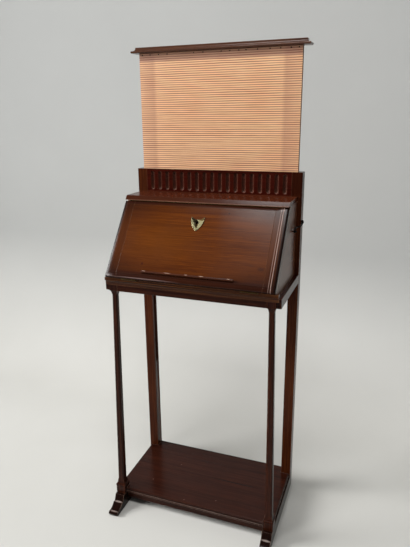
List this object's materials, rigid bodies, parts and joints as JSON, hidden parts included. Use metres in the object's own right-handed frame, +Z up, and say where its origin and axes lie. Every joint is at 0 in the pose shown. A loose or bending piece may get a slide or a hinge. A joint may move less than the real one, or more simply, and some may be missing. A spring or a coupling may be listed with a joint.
{
  "type": "writing desk",
  "caption": "Small sloping-box writing desk on columns, posts and runner feet, with a hinged fall front, fluted frieze, side hook and a silk fire screen that slides up behind it.",
  "frame": {"origin": "middle of the footprint box, on the floor", "axes": "+Z up, -Y to the front where the writer sits, +X to the writer's right when facing the desk"},
  "size_m": [0.487, 0.3194, 1.291],
  "materials": {
    "polished_mahogany_fall": "polished, warm brown",
    "dark_mahogany_frame": "polished, very dark brown",
    "red_mahogany_frieze": "polished, red brown",
    "worn_mahogany_shelf": "worn polish, dull brown",
    "plain_interior_wood": "unpolished",
    "peach_silk": "ribbed, soft sheen",
    "pale_brass": "pale, rubbed",
    "dark_brass": "darkened",
    "black_iron": "blackened"
  },
  "bodies": {
    "desk": {"left_runner_foot": "dark_mahogany_frame", "left_front_column": "dark_mahogany_frame", "left_rear_post": "dark_mahogany_frame", "left_side_rail": "dark_mahogany_frame", "right_runner_foot": "dark_mahogany_frame", "right_front_column": "dark_mahogany_frame", "right_rear_post": "dark_mahogany_frame", "right_side_rail": "dark_mahogany_frame", "bottom_shelf": "worn_mahogany_shelf", "shelf_apron": "dark_mahogany_frame", "front_rail": "dark_mahogany_frame", "rear_rail": "dark_mahogany_frame", "box_back": "dark_mahogany_frame", "front_sill": "polished_mahogany_fall", "left_box_side": "polished_mahogany_fall", "right_box_side": "polished_mahogany_fall", "box_top": "polished_mahogany_fall", "box_floor": "plain_interior_wood", "lock_rail": "plain_interior_wood", "letter_shelf": "plain_interior_wood", "left_pigeonhole_divider": "plain_interior_wood", "right_pigeonhole_divider": "plain_interior_wood", "fluted_frieze": "red_mahogany_frieze", "left_hinge_sill_leaf": "dark_brass", "left_hinge_pin": "dark_brass", "right_hinge_sill_leaf": "dark_brass", "right_hinge_pin": "dark_brass", "hook_stud": "black_iron", "hook_eye": "black_iron"},
    "fall": {"fall_panel": "polished_mahogany_fall", "left_fall_clamp": "polished_mahogany_fall", "right_fall_clamp": "polished_mahogany_fall", "book_ledge": "polished_mahogany_fall", "keyhole_escutcheon": "pale_brass", "lock_case": "dark_brass", "left_hinge_fall_leaf": "dark_brass", "right_hinge_fall_leaf": "dark_brass"},
    "lock_bolt": {"lock_bolt": "dark_brass"},
    "screen": {"left_screen_stile": "plain_interior_wood", "right_screen_stile": "plain_interior_wood", "screen_top_rail": "plain_interior_wood", "screen_bottom_rail": "plain_interior_wood", "front_silk": "peach_silk", "back_silk": "peach_silk", "screen_cap": "dark_mahogany_frame"},
    "hook": {"side_hook": "black_iron"}
  },
  "joints": [
    {"name": "fall_hinge", "type": "hinge", "parent": "desk", "child": "fall", "pos_m": [0, -0.10355, 0.7108], "axis": [1, 0, 0], "range_deg": [0, 127]},
    {"name": "lock_bolt_slide", "type": "slide", "parent": "fall", "child": "lock_bolt", "axis": [0, 0.6032, 0.7976], "range_m": [0, 0.004]},
    {"name": "screen_slide", "type": "slide", "parent": "desk", "child": "screen", "axis": [0, 0, 1], "range_m": [-0.3045, 0]},
    {"name": "side_hook_pivot", "type": "hinge", "parent": "desk", "child": "hook", "pos_m": [0.2401, 0.13025, 0.84], "axis": [-1, 0, 0], "range_deg": [0, 70]}
  ]
}
